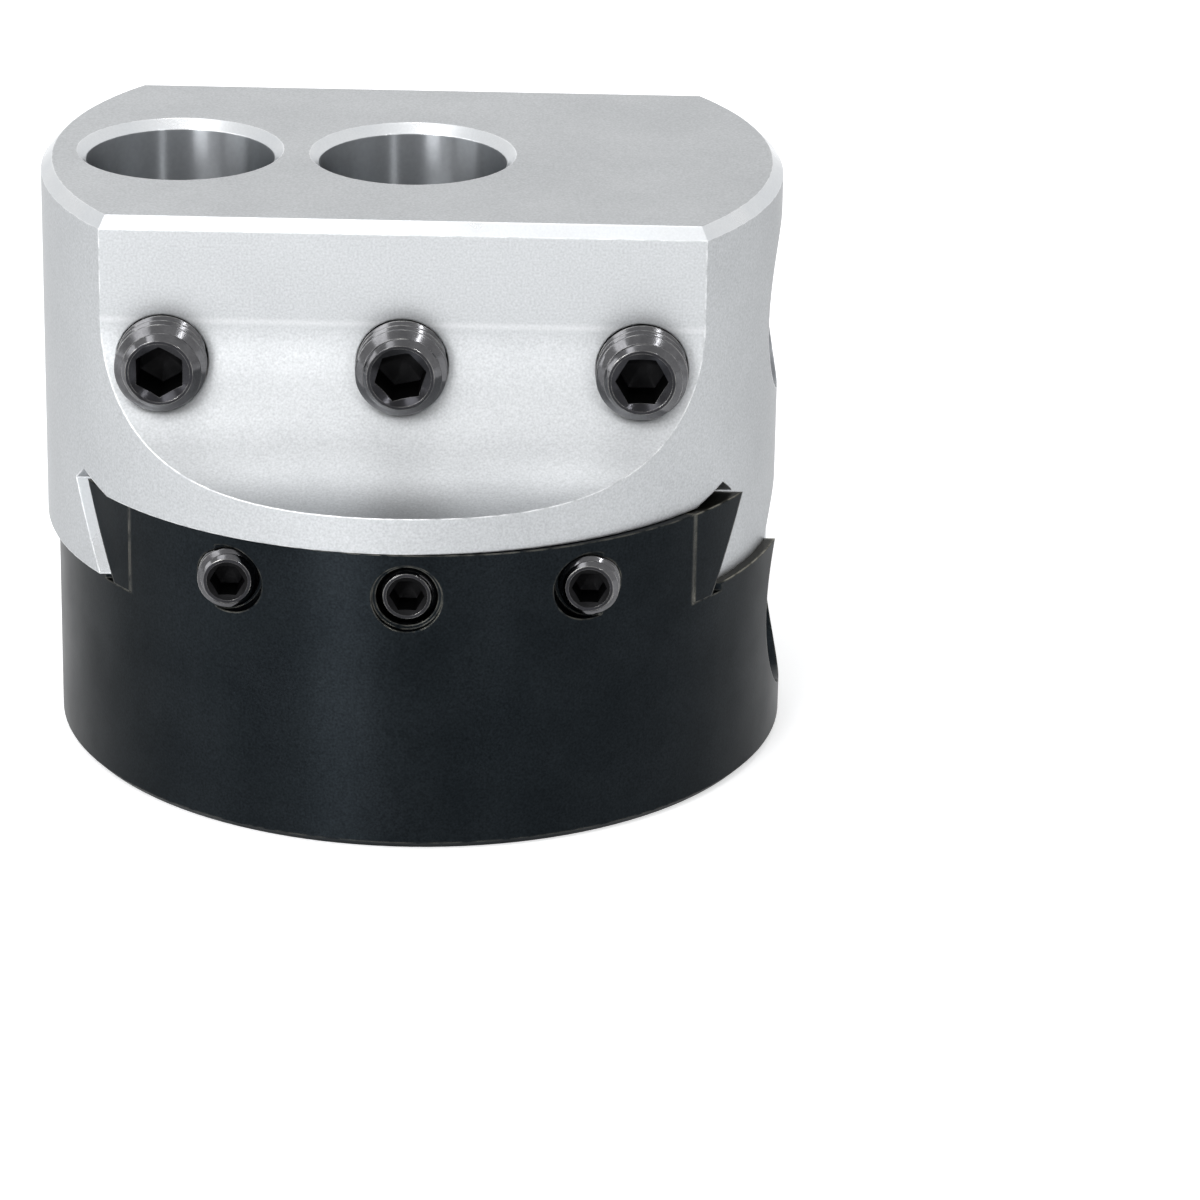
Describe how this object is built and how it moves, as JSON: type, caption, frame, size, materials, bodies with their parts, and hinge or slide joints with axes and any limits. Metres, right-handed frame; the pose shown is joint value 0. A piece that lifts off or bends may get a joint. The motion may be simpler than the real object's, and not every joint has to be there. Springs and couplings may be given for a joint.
{
  "type": "boring head",
  "caption": "Adjustable boring head: round body with a dovetail slide, upright and cross bores for boring bars, gib and clamping screws and a graduated feed screw.",
  "frame": {"origin": "centre of the threaded shank socket at the body's rear face", "axes": "+Z out of the spindle towards the slide, +X towards the graduated dial, -Y towards the clamping screws"},
  "size_m": [0.1015, 0.1, 0.0803],
  "materials": {
    "black_oxide_body": "black oxide on turned steel, satin",
    "satin_slide": "fine satin, nickel grey",
    "ground_steel": "black oxide, ground faces",
    "black_screws": "glossy black oxide",
    "turned_steel": "fine turned",
    "satin_dial": "satin with engraved graduations",
    "bronze": "machined bronze",
    "brass_pad": "machined brass"
  },
  "bodies": {
    "mount_body": {"body": "black_oxide_body", "gib": "ground_steel", "thrust_washer_inner": "bronze", "thrust_washer_outer": "bronze", "bearing_retainer": "turned_steel", "shank_lock_pad": "brass_pad"},
    "slide": {"bar_holder": "satin_slide", "feed_nut": "bronze", "feed_nut_screws": "black_screws", "feed_nut_dowels": "turned_steel"},
    "feed_screw": {"lead_screw": "turned_steel", "dial": "satin_dial", "dial_set_screw": "black_screws"},
    "offset_bore_screw": {"clamp_screw_offset_bore": "black_screws"},
    "centre_bore_screw": {"clamp_screw_centre_bore": "black_screws"},
    "cross_bore_screw": {"clamp_screw_cross_bore": "black_screws"},
    "left_gib_screw": {"gib_screw_left": "black_screws"},
    "middle_gib_screw": {"gib_screw_middle": "black_screws"},
    "right_gib_screw": {"gib_screw_right": "black_screws"},
    "shank_screw": {"shank_lock_screw": "black_screws"}
  },
  "joints": [
    {"name": "feed_screw_turn", "type": "hinge", "parent": "mount_body", "child": "feed_screw", "pos_m": [0, 0, 0.0205], "axis": [1, 0, 0], "range_deg": [-361, 7201]},
    {"name": "slide_travel", "type": "slide", "parent": "mount_body", "child": "slide", "axis": [1, 0, 0], "range_m": [-0.0254, 0.00127]},
    {"name": "offset_bore_screw_travel", "type": "slide", "parent": "slide", "child": "offset_bore_screw", "axis": [0, 1, 0], "range_m": [-0.008, 0.0038]},
    {"name": "centre_bore_screw_travel", "type": "slide", "parent": "slide", "child": "centre_bore_screw", "axis": [0, 1, 0], "range_m": [-0.008, 0.0038]},
    {"name": "cross_bore_screw_travel", "type": "slide", "parent": "slide", "child": "cross_bore_screw", "axis": [0, 1, 0], "range_m": [-0.008, 0.0038]},
    {"name": "left_gib_screw_travel", "type": "slide", "parent": "mount_body", "child": "left_gib_screw", "axis": [0, 1, 0], "range_m": [-0.003, 0]},
    {"name": "middle_gib_screw_travel", "type": "slide", "parent": "mount_body", "child": "middle_gib_screw", "axis": [0, 1, 0], "range_m": [-0.003, 0]},
    {"name": "right_gib_screw_travel", "type": "slide", "parent": "mount_body", "child": "right_gib_screw", "axis": [0, 1, 0], "range_m": [-0.003, 0]},
    {"name": "shank_screw_travel", "type": "slide", "parent": "mount_body", "child": "shank_screw", "axis": [0, 1, 0], "range_m": [0, 0.004]}
  ],
  "couplings": [
    {"joint": "feed_screw_turn", "follows": "slide_travel", "rad_per_m": -4947.4}
  ]
}
